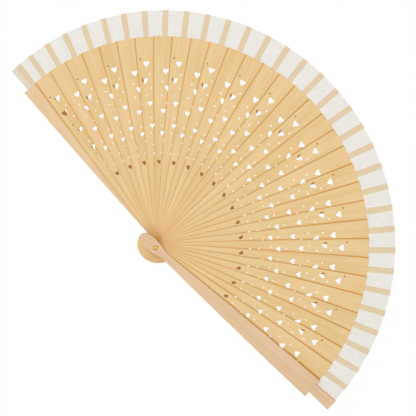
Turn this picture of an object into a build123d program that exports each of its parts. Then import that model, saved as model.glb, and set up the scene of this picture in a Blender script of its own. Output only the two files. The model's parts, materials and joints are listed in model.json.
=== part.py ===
"""A folding hand fan, spread open: two guards and 32 ribs turning on one rivet, with a cloth leaf.

The rivet's axis is Z. Z = 0 is the outer face of the back guard, and the sticks lie one above
another, each in a layer of its own, up to the front guard. The fan's middle points along +Y.
A stick's own frame has X along the stick, away from the rivet, and Y across it.
"""

from build123d import *

import os
from math import acos, atan2, cos, degrees, radians, sin

# Sticks, in mm along a stick from the rivet's axis and across it from the stick's centre line
rib_count = 32
tip_radius = 215.0
shoulder_radius = 191.7
shoulder_half_width = 10.15
middle_radius = 103.0
middle_half_width = 7.35
neck_radius = 15.0
neck_half_width = 3.45
head_half_width = 6.2
head_centre = 8.0
head_length = 18.1

# Tongues, the narrow ends that carry the leaf
rib_tongue_half_width = 2.65
guard_tongue_half_width = 4.6
guard_tip_half_width = 5.6

# Thicknesses and layers
guard_thickness = 2.4
rib_thickness = 0.7
rib_gap = 0.1
tongue_recess = 0.35
guard_edge_radius = 0.5

# Spread of the open fan, in degrees. The ribs are evenly spaced apart from a slight drift towards
# the front guard, which is largest half way between the guards.
fan_spread = 170.8
back_guard_gap = 4.4
front_guard_gap = 5.5
middle_drift = 0.55

# Leaf
leaf_inner_radius = 192.3
leaf_thickness = 0.15
leaf_clearance = 0.02
leaf_overhang_deg = 1.35

# Rivet
pin_radius = 1.2
pin_clearance = 0.05
dome_radius = 2.3
dome_height = 1.3
washer_radius = 2.8
washer_thickness = 0.5
recess_radius = 3.0
recess_depth = 0.8
tail_setback = 0.15

# Pierced pattern of the odd ribs: place along the stick, place across it, and width.
# The even ribs carry the same pattern, mirrored across the stick and nearer to the rivet.
hearts = [
    (167.3, 1.6, 5.6),
    (152.1, 3.8, 5.7),
    (131.3, 0.3, 4.7),
    (110.9, -0.4, 4.5),
    (84.5, -2.2, 4.4),
]
dots = [
    (172.3, 6.7, 1.6),
    (158.3, -1.2, 1.6),
    (145.8, -1.6, 1.6),
    (138.8, 3.4, 1.5),
    (118.1, -0.2, 1.5),
    (104.4, 1.3, 1.3),
    (93.5, -0.5, 1.4),
]
even_rib_shift = -7.1
heart_length_share = 0.98

# Worked out from the above
front_guard_index = rib_count + 1
layer_pitch = rib_thickness + rib_gap
front_guard_floor = guard_thickness + rib_gap + rib_count * layer_pitch
front_guard_top = front_guard_floor + guard_thickness
back_guard_angle = 90 + fan_spread / 2
rib_spread = fan_spread - back_guard_gap - front_guard_gap


def stick_angle(index):
    """Direction of a stick in degrees from +X: 0 is the back guard, rib_count + 1 the front one."""
    if index == 0:
        return back_guard_angle
    if index == front_guard_index:
        return back_guard_angle - fan_spread
    share = (index - 1) / (rib_count - 1)
    drift = middle_drift * 4 * share * (1 - share)
    return back_guard_angle - back_guard_gap - rib_spread * share - drift


def stick_floor(index):
    """Height of a stick's lower face."""
    if index == 0:
        return 0.0
    return guard_thickness + rib_gap + (index - 1) * layer_pitch


def stick_plane(index):
    """The stick's own frame, on its lower face."""
    angle = radians(stick_angle(index))
    return Plane(
        origin=(0, 0, stick_floor(index)),
        x_dir=(cos(angle), sin(angle), 0),
        z_dir=(0, 0, 1),
    )


def stick_blade():
    """Face of a stick without its tongue: rounded head, waist, and a blade up to square shoulders."""
    widest = (-head_centre, head_half_width)
    waist = (neck_radius, neck_half_width)
    turn = ((widest[0] + waist[0]) / 2, (widest[1] + waist[1]) / 2)
    with BuildSketch() as blade:
        with BuildLine():
            EllipticalCenterArc(
                center=(-head_centre, 0),
                x_radius=head_length - head_centre,
                y_radius=head_half_width,
                start_angle=90,
                arc_size=90,
            )
            flare = TangentArc(widest, turn, tangent=(1, 0))
            TangentArc(turn, waist, tangent=flare % 1)
            ThreePointArc(
                waist,
                (middle_radius, middle_half_width),
                (shoulder_radius, shoulder_half_width),
            )
            Line((shoulder_radius, shoulder_half_width), (shoulder_radius, 0))
            mirror(about=Plane.XZ)
        make_face()
    return blade.sketch


def tongue(base_half_width, tip_half_width):
    """Face of the tongue between the shoulders and the tip."""
    with BuildSketch() as face:
        with BuildLine():
            Polyline(
                (shoulder_radius, -base_half_width),
                (tip_radius, -tip_half_width),
                (tip_radius, tip_half_width),
                (shoulder_radius, base_half_width),
                close=True,
            )
        make_face()
    return face.sketch


def heart(width):
    """Heart of two round lobes and straight sides, with its point towards the rivet."""
    length = width * heart_length_share
    lobe = width / 4
    notch = length / 2 - lobe
    side_length = notch + length / 2
    slope = 2 * atan2(lobe, side_length)
    with BuildSketch() as face:
        with BuildLine():
            for side in (1, -1):
                lobe_top = (notch + lobe * cos(slope / 2), side * (lobe + lobe * sin(slope / 2)))
                cheek = (side_length * cos(slope) - length / 2, side * side_length * sin(slope))
                ThreePointArc((notch, 0), lobe_top, cheek)
                Line(cheek, (-length / 2, 0))
        make_face()
    return face.sketch


def pierced_pattern(side, shift):
    """All the holes of one rib. side is 1 or -1 across the stick, and shift moves them along it."""
    with BuildSketch() as holes:
        for x, y, width in hearts:
            with Locations((x + shift, side * y)):
                add(heart(width))
        for x, y, width in dots:
            with Locations((x + shift, side * y)):
                Circle(width / 2)
    return holes.sketch


def make_rib(index):
    """One rib: a thin pierced blade with a thinner tongue behind the leaf."""
    even = index % 2 == 0
    with BuildPart() as rib:
        with BuildSketch(stick_plane(index)):
            add(blade)
            add(even_pattern if even else odd_pattern, mode=Mode.SUBTRACT)
            Circle(pin_radius + pin_clearance, mode=Mode.SUBTRACT)
        extrude(amount=rib_thickness)
        with BuildSketch(stick_plane(index)):
            add(rib_tongue)
        extrude(amount=rib_thickness - tongue_recess)
    return rib.part


def make_back_guard():
    """The thick outer stick at the bottom of the stack, recessed for the rivet's washer."""
    with BuildPart() as guard:
        with BuildSketch(stick_plane(0)):
            add(blade)
        extrude(amount=guard_thickness)
        with BuildSketch(stick_plane(0)):
            add(guard_tongue)
        extrude(amount=guard_thickness - tongue_recess)
        outer_face = guard.faces().sort_by(Axis.Z)[0]
        fillet(outer_face.outer_wire().edges(), radius=guard_edge_radius)
        with BuildSketch(Plane.XY):
            Circle(recess_radius)
        extrude(amount=recess_depth, mode=Mode.SUBTRACT)
        with BuildSketch(Plane.XY):
            Circle(pin_radius)
        extrude(amount=guard_thickness, mode=Mode.SUBTRACT)
    return guard.part


def make_front_guard():
    """The thick outer stick on top of the stack, with its tongue over the leaf."""
    with BuildPart() as guard:
        with BuildSketch(stick_plane(front_guard_index)):
            add(blade)
            add(guard_tongue)
            Circle(pin_radius + pin_clearance, mode=Mode.SUBTRACT)
        extrude(amount=guard_thickness)
        outer_face = guard.faces().sort_by(Axis.Z)[-1]
        fillet(outer_face.outer_wire().edges(), radius=guard_edge_radius)
    return guard.part


def leaf_sections():
    """Angle and height of the leaf's lower face at each fold, from the back guard to the front one."""
    tongue_mid_radius = (shoulder_radius + tip_radius) / 2
    rib_margin = degrees(rib_tongue_half_width / tongue_mid_radius)
    sections = []
    for index in range(front_guard_index + 1):
        angle = stick_angle(index)
        if index == 0:
            height = guard_thickness - tongue_recess + leaf_clearance
            margin = leaf_overhang_deg
        elif index == front_guard_index:
            height = front_guard_floor - leaf_clearance - leaf_thickness
            margin = leaf_overhang_deg
        else:
            height = stick_floor(index) + rib_thickness - tongue_recess + leaf_clearance
            margin = rib_margin
        sections += [(angle + margin, height), (angle - margin, height)]
    return sections


def make_leaf():
    """The cloth band, lying flat on every tongue and rising to the next one between them."""
    middle = (leaf_inner_radius + tip_radius) / 2
    with BuildPart() as leaf:
        for degrees_from_x, height in leaf_sections():
            angle = radians(degrees_from_x)
            section_plane = Plane(
                origin=(0, 0, height),
                x_dir=(cos(angle), sin(angle), 0),
                z_dir=(sin(angle), -cos(angle), 0),
            )
            with BuildSketch(section_plane):
                with Locations((middle, leaf_thickness / 2)):
                    Rectangle(tip_radius - leaf_inner_radius, leaf_thickness)
        loft(ruled=True)
    return leaf.part


def make_rivet():
    """Brass pin through every stick, with a domed head on the front guard."""
    head_floor = front_guard_top + pin_clearance
    head_top = head_floor + dome_height
    ball_radius = (dome_radius**2 + dome_height**2) / (2 * dome_height)
    rim_angle = degrees(acos(dome_radius / ball_radius))
    with BuildPart() as rivet:
        with BuildSketch(Plane.XZ):
            with BuildLine():
                Polyline(
                    (0, head_top),
                    (0, tail_setback),
                    (pin_radius, tail_setback),
                    (pin_radius, head_floor),
                    (dome_radius, head_floor),
                )
                CenterArc((0, head_top - ball_radius), ball_radius, rim_angle, 90 - rim_angle)
            make_face()
        revolve(axis=Axis.Z)
    return rivet.part


def make_washer():
    """Brass washer let into the back guard, under the rivet's tail."""
    with BuildPart() as washer:
        with BuildSketch(Plane.XY.offset(recess_depth - washer_thickness)):
            Circle(washer_radius)
            Circle(pin_radius, mode=Mode.SUBTRACT)
        extrude(amount=washer_thickness)
    return washer.part


def save(piece, name):
    """Writes one piece as the node of that name."""
    piece.label = name
    export_step(piece, f"parts/{name}.step")


blade = stick_blade()
rib_tongue = tongue(rib_tongue_half_width, rib_tongue_half_width)
guard_tongue = tongue(guard_tongue_half_width, guard_tip_half_width)
odd_pattern = pierced_pattern(1, 0)
even_pattern = pierced_pattern(-1, even_rib_shift)

os.makedirs("parts", exist_ok=True)
save(make_back_guard(), "back_guard")
for rib_index in range(1, rib_count + 1):
    save(make_rib(rib_index), f"rib_{rib_index:02d}")
save(make_front_guard(), "front_guard")
save(make_leaf(), "leaf")
save(make_rivet(), "rivet")
save(make_washer(), "rivet_washer")
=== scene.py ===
"""Looks for the folding hand fan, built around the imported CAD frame. Lengths are in metres."""

import json
from math import cos, hypot, pi, radians, sin

import bpy
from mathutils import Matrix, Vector


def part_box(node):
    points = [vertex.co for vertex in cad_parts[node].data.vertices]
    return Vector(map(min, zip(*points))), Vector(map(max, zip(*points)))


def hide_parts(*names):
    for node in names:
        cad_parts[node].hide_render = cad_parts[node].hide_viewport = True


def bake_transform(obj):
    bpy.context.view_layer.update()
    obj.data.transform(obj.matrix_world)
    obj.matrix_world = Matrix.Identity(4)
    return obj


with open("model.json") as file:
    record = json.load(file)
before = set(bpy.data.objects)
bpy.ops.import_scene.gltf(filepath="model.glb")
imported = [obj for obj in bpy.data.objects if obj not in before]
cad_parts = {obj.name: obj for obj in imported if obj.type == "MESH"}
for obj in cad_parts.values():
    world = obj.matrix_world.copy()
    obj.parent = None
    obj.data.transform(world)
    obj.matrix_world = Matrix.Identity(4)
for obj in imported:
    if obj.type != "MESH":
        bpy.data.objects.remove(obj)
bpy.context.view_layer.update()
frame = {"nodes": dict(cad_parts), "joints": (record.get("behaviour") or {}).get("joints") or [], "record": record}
MM = 0.001

# Leaf. It passes the back guard's centre line by leaf_overhang_deg. The hem's free edge lies
# hem_reach_deg from that line, and the leaf's other end is shorter by as much.
leaf_thickness = 0.12 * MM
leaf_overhang_deg = 1.75
hem_reach_deg = 0.35
hem_gap = 0.01 * MM
shoulder_clearance = 0.05 * MM
fold_share = 0.12
strip_steps = 6
panel_steps = 18
radial_steps = 10
rib_tongue_half_width = 2.65 * MM
guard_tongue_half_widths = (4.0 * MM, 5.0 * MM)

# Outline of a stick, for the darker line along its cut edges and the painted shadow line beside it
waist_radius = 15.0 * MM
waist_half_width = 3.45 * MM
middle_radius = 103.0 * MM
middle_half_width = 7.35 * MM
shoulder_radius = 191.7 * MM
shoulder_half_width = 10.15 * MM

# Hearts pierced in the odd ribs: mm along the rib and across it, and width. The even ribs' are
# mirrored across the rib and shifted along it.
hearts = [
    (167.3, 1.6, 5.6),
    (152.1, 3.8, 5.7),
    (131.3, 0.3, 4.7),
    (110.9, -0.4, 4.5),
    (84.5, -2.2, 4.4),
]
even_rib_shift = -7.1

# Colours, as they show in plain light. The line width in each look is the width in mm of the painted
# shadow line that runs along the edge of the stick above.
rib_look = {"pale": "F1D3A0", "deep": "E3BC7C", "cut_edge": "C88F36", "line_width": 1.7}
back_guard_look = {"pale": "F0D3AB", "deep": "E3BF8C", "cut_edge": "CB9A5C", "line_width": 3.2}
front_guard_look = {"pale": "ECCCA8", "deep": "DEB78A", "cut_edge": "D2A468", "line_width": 1.7}
cloth_white = "F1EEE7"
cloth_over_wood = "E8D3B0"
cloth_hem = "E9DFCB"
# Painted shade tint, for the gaps between sticks and the line along the stick above
painted_shade_tint = "F0CB76"
# Painted shade, deep in the holes and under the hearts of the rib above
painted_hole_shade = "B07026"
# Painted shade beside the rivet, a warm orange-brown
rivet_shade_amber = "E6B35C"
brass_bright = "FFD068"
brass_dull = "F2BD52"

# Wood grain: noise cells per mm along a stick, across it and up, and each layer's share of the tone
streak_cells = (0.012, 0.55, 0.55)
streak_share = 0.45
fibre_cells = (0.07, 4.5, 4.5)
fibre_share = 0.25
cloud_cells = (0.02, 0.06, 0.06)
cloud_share = 0.3
pore_cells = (0.45, 7.0, 7.0)
pore_share = 0.35
grain_step = (37.0, 11.0, 5.0)
grain_depth = 0.04 * MM
rib_roughness = 0.55
guard_roughness = 0.5

# Browned wood and painted shade. Shares say how far the colour goes towards the brown or the shade.
# The rim line along a stick's top edge is partly burn and partly painted shade
rim_width_mm = 0.8
rim_burn_and_shade_share = 0.35
least_burn = 0.45
burn_range = 0.35
burn_step = 0.618
edge_strength_at_rivet = 0.08
# Painted shade on a rib, seen through the hearts of the rib above
heart_shade_share = 0.95
heart_shade_inside = 0.28
heart_shade_outside = 0.62
# Painted shade beside the rivet, where the ribs crowd together
rivet_shade_place = (-0.0056, 0.0052, 0.0026)
rivet_shade_squash = (1, 1, 0.2)
rivet_shade_reach = 6.0 * MM
rivet_shade_share = 0.85
# Painted shade in the gaps between sticks and deep in the holes, from ambient occlusion
crevice_reach = 1.6 * MM
crevice_shade_share = 0.6
deep_hole_shade_share = 0.85

# Brass and cotton: noise cells per metre and per mm, and the spacing of the threads in mm
stain_cells = (900, 900, 900)
mark_cells = (1500, 9000, 1500)
mark_depth = 0.01 * MM
slub_cells = (0.25, 3.0, 1.0)
# The cloth's broad clouds are painted shade of faint wrinkles
wrinkle_shade_cells = (0.08, 0.08, 1.0)
warp_spacing_mm = 0.32
weft_spacing_mm = 0.34
weave_depth = 0.03 * MM

# Camera
camera_place = (-0.00217, 0.12604, 0.56348)
camera_turn_deg = (-5.548, 4.487, 46.273)
camera_lens_mm = 51.92
camera_sensor_mm = 36.0

# Stage
floor_size = 4.0
floor_gap = 0.0002
floor_glow = 0.93
floor_paleness = 0.08
sky_strength = 0.42
light_target = (0, 0.1, 0)

joints = {joint["name"]: joint for joint in frame["joints"]}
couplings = frame["record"]["behaviour"]["couplings"]
fan_spread = joints["fan_opening"]["range_deg"][1]
turn_share = {c["joint"]: c["ratio"] for c in couplings}
rib_names = sorted(name for name in frame["nodes"] if name.startswith("rib_"))
stick_names = ["back_guard", *rib_names, "front_guard"]


def stick_travel(name):
    """How far a stick turns as the fan closes, in degrees."""
    if name == "back_guard":
        return 0.0
    if name == "front_guard":
        return fan_spread
    return turn_share[f"{name}_turn"] * fan_spread


def stick_angle(name):
    """Direction of a stick in the open fan, in degrees from +X."""
    return 90 + fan_spread / 2 - stick_travel(name)


# ---------------------------------------------------------------- shader helpers


def srgb(code):
    """The linear colour of a hex code."""
    shares = [int(code[i : i + 2], 16) / 255 for i in (0, 2, 4)]
    linear = [s / 12.92 if s <= 0.04045 else ((s + 0.055) / 1.055) ** 2.4 for s in shares]
    return (*linear, 1.0)


def set_inputs(tree, shader_node, inputs):
    """Links a node's inputs to sockets, or sets them to plain values."""
    for key, value in inputs.items():
        if isinstance(value, bpy.types.NodeSocket):
            tree.links.new(value, shader_node.inputs[key])
        else:
            shader_node.inputs[key].default_value = value


def add_node(tree, kind, inputs=None, **fields):
    """Adds a shader node, sets its fields, and links or sets its inputs."""
    made = tree.nodes.new(kind)
    for field, value in fields.items():
        setattr(made, field, value)
    set_inputs(tree, made, inputs or {})
    return made


def maths(tree, operation, first, second=0.0):
    """A number worked out from two others."""
    return add_node(tree, "ShaderNodeMath", {0: first, 1: second}, operation=operation).outputs[0]


def mixed(tree, share, first, second, blend="MIX"):
    """A colour between two others."""
    inputs = {0: share, 6: first, 7: second}
    made = add_node(tree, "ShaderNodeMix", inputs, data_type="RGBA", blend_type=blend)
    return made.outputs[2]


def stretch(tree, vector, scale):
    """Texture coordinates, scaled along each axis."""
    inputs = {0: vector, 1: scale}
    return add_node(tree, "ShaderNodeVectorMath", inputs, operation="MULTIPLY").outputs[0]


def noise(tree, vector, detail=2.0, roughness=0.5):
    """Smooth random values around 0.5, one cell per unit of the coordinates."""
    inputs = {"Vector": vector, "Scale": 1.0, "Detail": detail, "Roughness": roughness}
    return add_node(tree, "ShaderNodeTexNoise", inputs).outputs[0]


def ramp(tree, value, low, high, to_low=0.0, to_high=1.0):
    """The value taken from low..high to to_low..to_high, with soft ends."""
    inputs = {"Value": value, 1: low, 2: high, 3: to_low, 4: to_high}
    made = add_node(tree, "ShaderNodeMapRange", inputs, interpolation_type="SMOOTHSTEP")
    return made.outputs[0]


def new_material(name):
    """An empty principled material: (material, its node tree, its shader)."""
    material = bpy.data.materials.new(name)
    material.use_nodes = True
    tree = material.node_tree
    return material, tree, tree.nodes["Principled BSDF"]


def bump(tree, height, distance, strength):
    """A normal bent by a height."""
    inputs = {"Height": height, "Distance": distance, "Strength": strength}
    return add_node(tree, "ShaderNodeBump", inputs).outputs[0]


# ---------------------------------------------------------------- wood


def stick_coordinates(tree, name):
    """Millimetres along a stick, across it and up."""
    inputs = {
        "Vector": add_node(tree, "ShaderNodeTexCoord").outputs["Object"],
        "Rotation": (0, 0, -radians(stick_angle(name))),
        "Scale": (1 / MM, 1 / MM, 1 / MM),
    }
    return add_node(tree, "ShaderNodeMapping", inputs).outputs[0]


def distance_to_side(tree, along, across):
    """Millimetres from a stick's long edge, which is a circular arc from the waist to the shoulder."""
    x1, y1 = waist_radius / MM, waist_half_width / MM
    x2, y2 = middle_radius / MM, middle_half_width / MM
    x3, y3 = shoulder_radius / MM, shoulder_half_width / MM
    twice_area = 2 * (x1 * (y2 - y3) + x2 * (y3 - y1) + x3 * (y1 - y2))
    a, b, c = x1**2 + y1**2, x2**2 + y2**2, x3**2 + y3**2
    centre_x = (a * (y2 - y3) + b * (y3 - y1) + c * (y1 - y2)) / twice_area
    centre_y = (a * (x3 - x2) + b * (x1 - x3) + c * (x2 - x1)) / twice_area
    radius = hypot(x1 - centre_x, y1 - centre_y)
    side = maths(tree, "ABSOLUTE", across)
    dx = maths(tree, "SUBTRACT", along, centre_x)
    dy = maths(tree, "SUBTRACT", side, centre_y)
    squares = maths(tree, "ADD", maths(tree, "MULTIPLY", dx, dx), maths(tree, "MULTIPLY", dy, dy))
    return maths(tree, "SUBTRACT", radius, maths(tree, "SQRT", squares))


def distance_to_heart(tree, along, across, rib):
    """Distance from a rib's nearest heart, as a share of that heart's width."""
    even = rib_names.index(rib) % 2 == 1
    shift, side = (even_rib_shift, -1) if even else (0.0, 1)
    flat = add_node(tree, "ShaderNodeCombineXYZ", {0: along, 1: across}).outputs[0]
    nearest = 1.0
    for x, y, width in hearts:
        inputs = {0: flat, 1: (x + shift, side * y, 0)}
        gap = add_node(tree, "ShaderNodeVectorMath", inputs, operation="DISTANCE").outputs["Value"]
        nearest = maths(tree, "MINIMUM", maths(tree, "DIVIDE", gap, width), nearest)
    return nearest


def strength_outwards(tree, along):
    """The strength of the edge lines and of the painted crevice shade, which grows from the rivet to the
    shoulders.
    """
    inputs = {"Value": along, 1: 0.0, 2: shoulder_radius / MM, 3: edge_strength_at_rivet, 4: 1.0}
    return add_node(tree, "ShaderNodeMapRange", inputs).outputs[0]


def paint_shade_beside(tree, colour, above, width):
    """Paints shade on the wood: a shadow line along the edge of the stick above, and dark shade under its hearts.
    """
    parts = add_node(tree, "ShaderNodeSeparateXYZ", {0: stick_coordinates(tree, above)})
    along, across = parts.outputs[0], parts.outputs[1]
    # Painted shadow just outside the edge of the stick above
    beside = ramp(tree, distance_to_side(tree, along, across), -width, 0.0)
    beside = maths(tree, "MULTIPLY", beside, strength_outwards(tree, along))
    colour = mixed(tree, beside, colour, srgb(painted_shade_tint), blend="MULTIPLY")
    if above in rib_names:
        # Painted shade seen through the hearts of the rib above
        gap = distance_to_heart(tree, along, across, above)
        under = ramp(tree, gap, heart_shade_inside, heart_shade_outside, heart_shade_share, 0.0)
        colour = mixed(tree, under, colour, srgb(painted_hole_shade))
    return colour


def paint_rivet_shade(tree, colour):
    """Paints warm orange-brown shade on the ribs beside the rivet, where they crowd together."""
    source = add_node(tree, "ShaderNodeTexCoord").outputs["Object"]
    inputs = {0: stretch(tree, source, rivet_shade_squash), 1: rivet_shade_place}
    gap = add_node(tree, "ShaderNodeVectorMath", inputs, operation="DISTANCE").outputs["Value"]
    return mixed(tree, ramp(tree, gap, 0.0, rivet_shade_reach, rivet_shade_share, 0.0), colour, srgb(rivet_shade_amber))


def wood_grain(tree, place, seed):
    """The noise of one piece of wood: streaks, fibres, clouds and pores."""
    inputs = {0: place, 1: tuple(seed * step for step in grain_step)}
    shifted = add_node(tree, "ShaderNodeVectorMath", inputs, operation="ADD").outputs[0]
    streaks = noise(tree, stretch(tree, shifted, streak_cells), detail=4.0, roughness=0.62)
    fibres = noise(tree, stretch(tree, shifted, fibre_cells), detail=2.0)
    clouds = noise(tree, stretch(tree, shifted, cloud_cells), detail=1.0)
    pores = noise(tree, stretch(tree, shifted, pore_cells), detail=0.0)
    return streaks, fibres, clouds, pores


def grain_colour(tree, grain, look):
    """Pale wood, deepened by its streaks, fibres and clouds, with browner pores."""
    streaks, fibres, clouds, pores = grain
    tone = ramp(tree, streaks, 0.32, 0.70, 0.0, streak_share)
    tone = maths(tree, "ADD", tone, ramp(tree, fibres, 0.3, 0.7, 0.0, fibre_share))
    tone = maths(tree, "ADD", tone, ramp(tree, clouds, 0.3, 0.7, 0.0, cloud_share))
    colour = mixed(tree, tone, srgb(look["pale"]), srgb(look["deep"]))
    return mixed(tree, ramp(tree, pores, 0.70, 0.80, 0.0, pore_share), colour, srgb(look["cut_edge"]))


def brown_edges(tree, colour, rim, upward, outwards, cut_edge, seed):
    """Browns a stick's cut walls, which are burnt more on some sticks than on others, and its rim, whose line is
    partly burn and partly painted shade.
    """
    # Rim line: partly burn, partly painted shade at the stick's edge
    rim_burn_and_shade = maths(tree, "MULTIPLY", ramp(tree, rim, 0.0, rim_width_mm, rim_burn_and_shade_share, 0.0), outwards)
    colour = mixed(tree, rim_burn_and_shade, colour, cut_edge)
    burn = least_burn + burn_range * (seed * burn_step % 1)
    wall = ramp(tree, maths(tree, "ABSOLUTE", upward), 0.2, 0.75, burn, 0.0)
    return mixed(tree, wall, colour, cut_edge)


def paint_crevice_shade(tree, colour, outwards):
    """Paints shade on the wood from its ambient occlusion: a tint in the gaps between sticks, and dark brown deep
    in the holes.
    """
    crevice = add_node(tree, "ShaderNodeAmbientOcclusion", {"Distance": crevice_reach}, samples=8)
    shut_in = ramp(tree, crevice.outputs["AO"], 0.55, 0.97, crevice_shade_share, 0.0)
    shut_in = maths(tree, "MULTIPLY", shut_in, outwards)
    colour = mixed(tree, shut_in, colour, srgb(painted_shade_tint), blend="MULTIPLY")
    deep_down = ramp(tree, crevice.outputs["AO"], 0.15, 0.40, deep_hole_shade_share, 0.0)
    return mixed(tree, deep_down, colour, srgb(painted_hole_shade))


def wood(name, stick, above, look, seed, roughness):
    """Straight-grained wood along one stick, with browned cut edges, and painted shade beside the rivet, along the
    stick above, under its hearts and in the crevices.
    """
    material, tree, shader = new_material(name)
    place = stick_coordinates(tree, stick)
    grain = wood_grain(tree, place, seed)
    streaks, fibres = grain[0], grain[1]
    colour = grain_colour(tree, grain, look)
    normal = add_node(tree, "ShaderNodeTexCoord").outputs["Normal"]
    upward = add_node(tree, "ShaderNodeSeparateXYZ", {0: normal}).outputs[2]
    if stick in rib_names:
        # Painted shade beside the rivet
        colour = paint_rivet_shade(tree, colour)
    # Painted shade from the stick above, on upward faces only
    if above:
        on_top = ramp(tree, upward, 0.2, 0.6)
        colour = mixed(tree, on_top, colour, paint_shade_beside(tree, colour, above, look["line_width"]))
    parts = add_node(tree, "ShaderNodeSeparateXYZ", {0: place})
    outwards = strength_outwards(tree, parts.outputs[0])
    rim = distance_to_side(tree, parts.outputs[0], parts.outputs[1])
    colour = brown_edges(tree, colour, rim, upward, outwards, srgb(look["cut_edge"]), seed)
    colour = paint_crevice_shade(tree, colour, outwards)
    relief = maths(tree, "ADD", fibres, maths(tree, "MULTIPLY", streaks, 0.6))
    set_inputs(
        tree,
        shader,
        {
            "Base Color": colour,
            "Roughness": ramp(tree, fibres, 0.3, 0.7, roughness - 0.06, roughness + 0.08),
            "Specular IOR Level": 0.3,
            "Normal": bump(tree, relief, grain_depth, 0.5),
        },
    )
    return material


def set_material(piece, material):
    """Gives a piece one material in place of those it has."""
    piece.data.materials.clear()
    piece.data.materials.append(material)


def paint_sticks():
    """Gives every stick its own piece of wood."""
    guard_looks = {"back_guard": back_guard_look, "front_guard": front_guard_look}
    for index, (name, above) in enumerate(zip(stick_names, [*stick_names[1:], None])):
        look = guard_looks.get(name, rib_look)
        roughness = guard_roughness if name in guard_looks else rib_roughness
        material = wood(f"wood_{name}", name, above, look, index, roughness)
        set_material(frame["nodes"][name], material)


# ---------------------------------------------------------------- brass


def brass(name):
    """Polished brass, a little uneven, with fine marks."""
    material, tree, shader = new_material(name)
    source = add_node(tree, "ShaderNodeTexCoord").outputs["Object"]
    stains = noise(tree, stretch(tree, source, stain_cells), detail=3.0)
    marks = noise(tree, stretch(tree, source, mark_cells), detail=2.0)
    dullness = ramp(tree, stains, 0.35, 0.75)
    set_inputs(
        tree,
        shader,
        {
            "Base Color": mixed(tree, dullness, srgb(brass_bright), srgb(brass_dull)),
            "Metallic": 1.0,
            "Roughness": ramp(tree, marks, 0.3, 0.7, 0.36, 0.48),
            "Normal": bump(tree, marks, mark_depth, 0.3),
        },
    )
    return material


# ---------------------------------------------------------------- leaf


def leaf_strips():
    """The cloth on each stick: angle, turn share, height of its lower side, and margins in degrees."""
    angles = [stick_angle(name) for name in stick_names]
    shares = [stick_travel(name) / fan_spread for name in stick_names]
    quarter_pitch = (angles[1] - angles[-2]) / (len(rib_names) - 1) / 4
    leaf_low, leaf_high = (corner.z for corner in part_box("leaf"))
    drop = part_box("back_guard")[1].z - leaf_low
    strips = []
    for i, name in enumerate(stick_names):
        left = right = quarter_pitch
        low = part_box(name)[1].z - drop
        if i == 0:
            left = leaf_overhang_deg
            right = (angles[0] - angles[1]) / 2 - quarter_pitch
        if name == stick_names[-1]:
            left = (angles[-2] - angles[-1]) / 2 - quarter_pitch
            right = leaf_overhang_deg - hem_reach_deg
            low = leaf_high - leaf_thickness
        strip = {"name": name, "angle": angles[i], "share": shares[i], "low": low}
        strips.append({**strip, "left": left, "right": right})
    return strips


def panel_height(strip, following):
    """Lower side of the cloth between two strips: half way up the gap that is left when the fan is shut."""
    gap_low = strip["low"] + leaf_thickness
    if strip["name"] == "back_guard":
        gap_low += leaf_thickness + hem_gap
    gap_high = following["low"]
    if following["name"] != "front_guard":
        gap_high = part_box(following["name"])[0].z
    return (gap_low + gap_high - leaf_thickness) / 2


def smooth(t):
    """0 to 1 with soft ends."""
    t = max(0.0, min(1.0, t))
    return t * t * (3 - 2 * t)


def leaf_columns():
    """Columns of points across the cloth, from the hem's free edge to the front guard."""
    strips = leaf_strips()
    columns = []

    def add(angle, share, low, stick, hem=0.0):
        columns.append({"angle": angle, "share": share, "low": low, "stick": stick, "hem": hem})

    first = strips[0]
    hem_width = first["left"] - hem_reach_deg
    for step in range(strip_steps + 1):
        angle = first["angle"] + hem_reach_deg + hem_width * step / strip_steps
        add(angle, 0.0, first["low"] + leaf_thickness + hem_gap, 0, 1.0)
    for i, strip in enumerate(strips):
        for step in range(strip_steps + 1):
            offset = strip["left"] - (strip["left"] + strip["right"]) * step / strip_steps
            add(strip["angle"] + offset, strip["share"], strip["low"], i)
        if i + 1 == len(strips):
            break
        following = strips[i + 1]
        middle = panel_height(strip, following)
        start, end = strip["angle"] - strip["right"], following["angle"] + following["left"]
        for step in range(1, panel_steps):
            t = step / panel_steps
            low = strip["low"] + (middle - strip["low"]) * smooth(t / fold_share)
            low += (following["low"] - middle) * smooth((t - 1 + fold_share) / fold_share)
            share = strip["share"] + (following["share"] - strip["share"]) * t
            add(start + (end - start) * t, share, low, i if t < 0.5 else i + 1)
    return columns


def outer_radius(radius, angle):
    """Radius of the cloth's outer edge at an angle, pulled straight from each stick to the next."""
    angles = [stick_angle(name) for name in stick_names]
    for left, right in zip(angles, angles[1:]):
        if right <= angle <= left:
            return radius * cos(radians((left - right) / 2)) / cos(radians(angle - (left + right) / 2))
    return radius


def inner_radius(angle, stick):
    """Radius of the cloth's inner edge at an angle, along the shoulders of the nearest stick."""
    return (shoulder_radius + shoulder_clearance) / cos(radians(angle - stick_angle(stick_names[stick])))


def tongue_half_width(stick, t):
    """Half width of the wood behind the cloth, t of the way out to the tip."""
    if stick in (0, len(stick_names) - 1):
        base, tip = guard_tongue_half_widths
        return base + (tip - base) * t
    return rib_tongue_half_width


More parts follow.
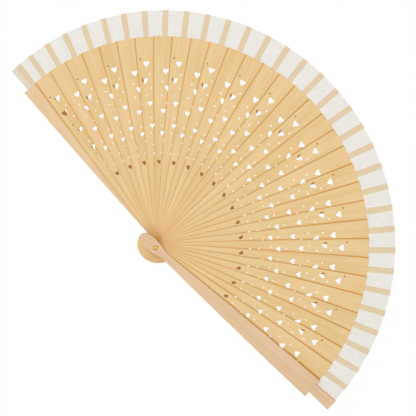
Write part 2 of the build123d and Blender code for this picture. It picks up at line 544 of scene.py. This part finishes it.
def make_leaf():
    """The cloth leaf, one sheet from the hem on the back guard to the front guard."""
    radii = [hypot(v.co.x, v.co.y) for v in frame["nodes"]["leaf"].data.vertices]
    inner, outer = shoulder_radius, max(radii)
    columns = leaf_columns()
    points = []
    shares = []
    for column in columns:
        turn = radians(column["angle"])
        low_edge = inner_radius(column["angle"], column["stick"])
        high_edge = outer_radius(outer, column["angle"])
        for row in range(radial_steps + 1):
            r = low_edge + (high_edge - low_edge) * row / radial_steps
            points.append((r * cos(turn), r * sin(turn), column["low"] + leaf_thickness / 2))
            shares.append(column["share"])
    rows = radial_steps + 1
    faces = []
    for c in range(len(columns) - 1):
        for row in range(radial_steps):
            a = c * rows + row
            faces.append((a, a + 1, a + rows + 1, a + rows))
    mesh = bpy.data.meshes.new("leaf_cloth")
    mesh.from_pydata(points, [], faces)
    lay_out_cloth(mesh, columns, rows)
    mesh.shade_smooth()
    leaf = bpy.data.objects.new("leaf_cloth", mesh)
    bpy.context.scene.collection.objects.link(leaf)
    thicken = leaf.modifiers.new("thickness", "SOLIDIFY")
    thicken.thickness = leaf_thickness
    thicken.offset = 0.0
    leaf.modifiers.new("normals", "WEIGHTED_NORMAL")
    return leaf, shares, (inner, outer)


def lay_out_cloth(mesh, columns, rows):
    """Two maps: where each point lies on the cloth, in mm, and where it lies on its stick's tongue."""
    weave_map = mesh.uv_layers.new(name="weave")
    glue_map = mesh.uv_layers.new(name="glue")
    for face in mesh.polygons:
        stick = columns[face.vertices[0] // rows]["stick"]
        hem = min(columns[v // rows]["hem"] for v in face.vertices)
        for loop in face.loop_indices:
            vertex = mesh.loops[loop].vertex_index
            column, t = columns[vertex // rows], (vertex % rows) / (rows - 1)
            x, y, _ = mesh.vertices[vertex].co
            offset = radians(column["angle"] - stick_angle(stick_names[stick])) * hypot(x, y)
            weave_map.data[loop].uv = (x / MM, y / MM)
            glue_map.data[loop].uv = (offset / tongue_half_width(stick, t), hem)


def cotton(name):
    """Thin plain-weave cotton, with the wood behind it showing through."""
    material, tree, shader = new_material(name)
    weave = add_node(tree, "ShaderNodeUVMap", uv_map="weave").outputs[0]
    glue_map = add_node(tree, "ShaderNodeUVMap", uv_map="glue").outputs[0]
    glue = add_node(tree, "ShaderNodeSeparateXYZ", {0: glue_map})
    flat = add_node(tree, "ShaderNodeSeparateXYZ", {0: weave})
    warp = maths(tree, "SINE", maths(tree, "MULTIPLY", flat.outputs[0], 2 * pi / warp_spacing_mm))
    weft = maths(tree, "SINE", maths(tree, "MULTIPLY", flat.outputs[1], 2 * pi / weft_spacing_mm))
    crossing = maths(tree, "MULTIPLY", warp, weft)
    slubs = noise(tree, stretch(tree, weave, slub_cells), detail=2.0)
    clouds = noise(tree, stretch(tree, weave, wrinkle_shade_cells), detail=2.0)
    through = ramp(tree, maths(tree, "ABSOLUTE", glue.outputs[0]), 0.9, 1.12, 1.0, 0.0)
    through = maths(tree, "MULTIPLY", through, maths(tree, "SUBTRACT", 1.0, glue.outputs[1]))
    colour = mixed(tree, through, srgb(cloth_white), srgb(cloth_over_wood))
    colour = mixed(tree, glue.outputs[1], colour, srgb(cloth_hem))
    # Painted shade of faint wrinkles in the cloth, as broad clouds
    painted_wrinkle_shade = ramp(tree, clouds, 0.3, 0.7, -0.02, 0.01)
    shade = maths(tree, "ADD", ramp(tree, slubs, 0.3, 0.7, 0.97, 1.02), painted_wrinkle_shade)
    shade = maths(tree, "ADD", shade, maths(tree, "MULTIPLY", crossing, 0.02))
    grey = add_node(tree, "ShaderNodeCombineColor", {0: shade, 1: shade, 2: shade}).outputs[0]
    colour = mixed(tree, 1.0, colour, grey, blend="MULTIPLY")
    height = maths(tree, "ADD", crossing, slubs)
    set_inputs(
        tree,
        shader,
        {
            "Base Color": colour,
            "Roughness": ramp(tree, slubs, 0.3, 0.7, 0.82, 0.95),
            "Specular IOR Level": 0.2,
            "Sheen Weight": 0.15,
            "Sheen Roughness": 0.5,
            "Normal": bump(tree, height, weave_depth, 0.6),
        },
    )
    return material


def hang_leaf():
    leaf, shares, (inner, outer) = make_leaf()
    set_material(leaf, cotton("cotton_leaf"))
    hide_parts("leaf")
    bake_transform(leaf)


# ---------------------------------------------------------------- stage


def make_floor():
    """A plain pale floor just under the fan."""
    half = floor_size / 2
    corners = [(-half, -half), (half, -half), (half, half), (-half, half)]
    mesh = bpy.data.meshes.new("floor")
    mesh.from_pydata([(x, y, -floor_gap) for x, y in corners], [], [(0, 1, 2, 3)])
    floor = bpy.data.objects.new("floor", mesh)
    bpy.context.scene.collection.objects.link(floor)
    material, _, shader = new_material("floor_white")
    shader.inputs["Base Color"].default_value = (floor_paleness, floor_paleness, floor_paleness, 1)
    shader.inputs["Roughness"].default_value = 1.0
    shader.inputs["Specular IOR Level"].default_value = 0.0
    shader.inputs["Emission Color"].default_value = (1, 1, 1, 1)
    shader.inputs["Emission Strength"].default_value = floor_glow
    set_material(floor, material)


def make_softbox(name, place, size, power):
    """A square lamp that faces the middle of the fan."""
    light = bpy.data.lights.new(name, "AREA")
    light.shape = "SQUARE"
    light.size = size
    light.energy = power
    lamp = bpy.data.objects.new(name, light)
    lamp.location = place
    lamp.rotation_euler = (Vector(light_target) - Vector(place)).to_track_quat("-Z", "Y").to_euler()
    bpy.context.scene.collection.objects.link(lamp)


def light_studio():
    """Two softboxes and an even sky."""
    make_softbox("softbox_left", (-0.9, 0.1, 1.1), size=0.8, power=3.9)
    make_softbox("softbox_top", (0.1, 0.15, 1.3), size=1.0, power=8.3)
    world = bpy.data.worlds.new("studio")
    world.use_nodes = True
    world.node_tree.nodes["Background"].inputs["Color"].default_value = (1, 1, 1, 1)
    world.node_tree.nodes["Background"].inputs["Strength"].default_value = sky_strength
    bpy.context.scene.world = world
    bpy.context.scene.view_settings.view_transform = "Standard"


def place_camera():
    """The camera over the open fan."""
    data = bpy.data.cameras.new("camera")
    data.lens = camera_lens_mm
    data.sensor_width = camera_sensor_mm
    data.clip_start = 0.01
    data.clip_end = 20.0
    camera = bpy.data.objects.new("camera", data)
    camera.location = camera_place
    camera.rotation_euler = [radians(turn) for turn in camera_turn_deg]
    bpy.context.scene.collection.objects.link(camera)
    bpy.context.scene.camera = camera


place_camera()
light_studio()
make_floor()
paint_sticks()
for brass_node in ("rivet", "rivet_washer"):
    set_material(frame["nodes"][brass_node], brass(f"brass_{brass_node}"))
hang_leaf()
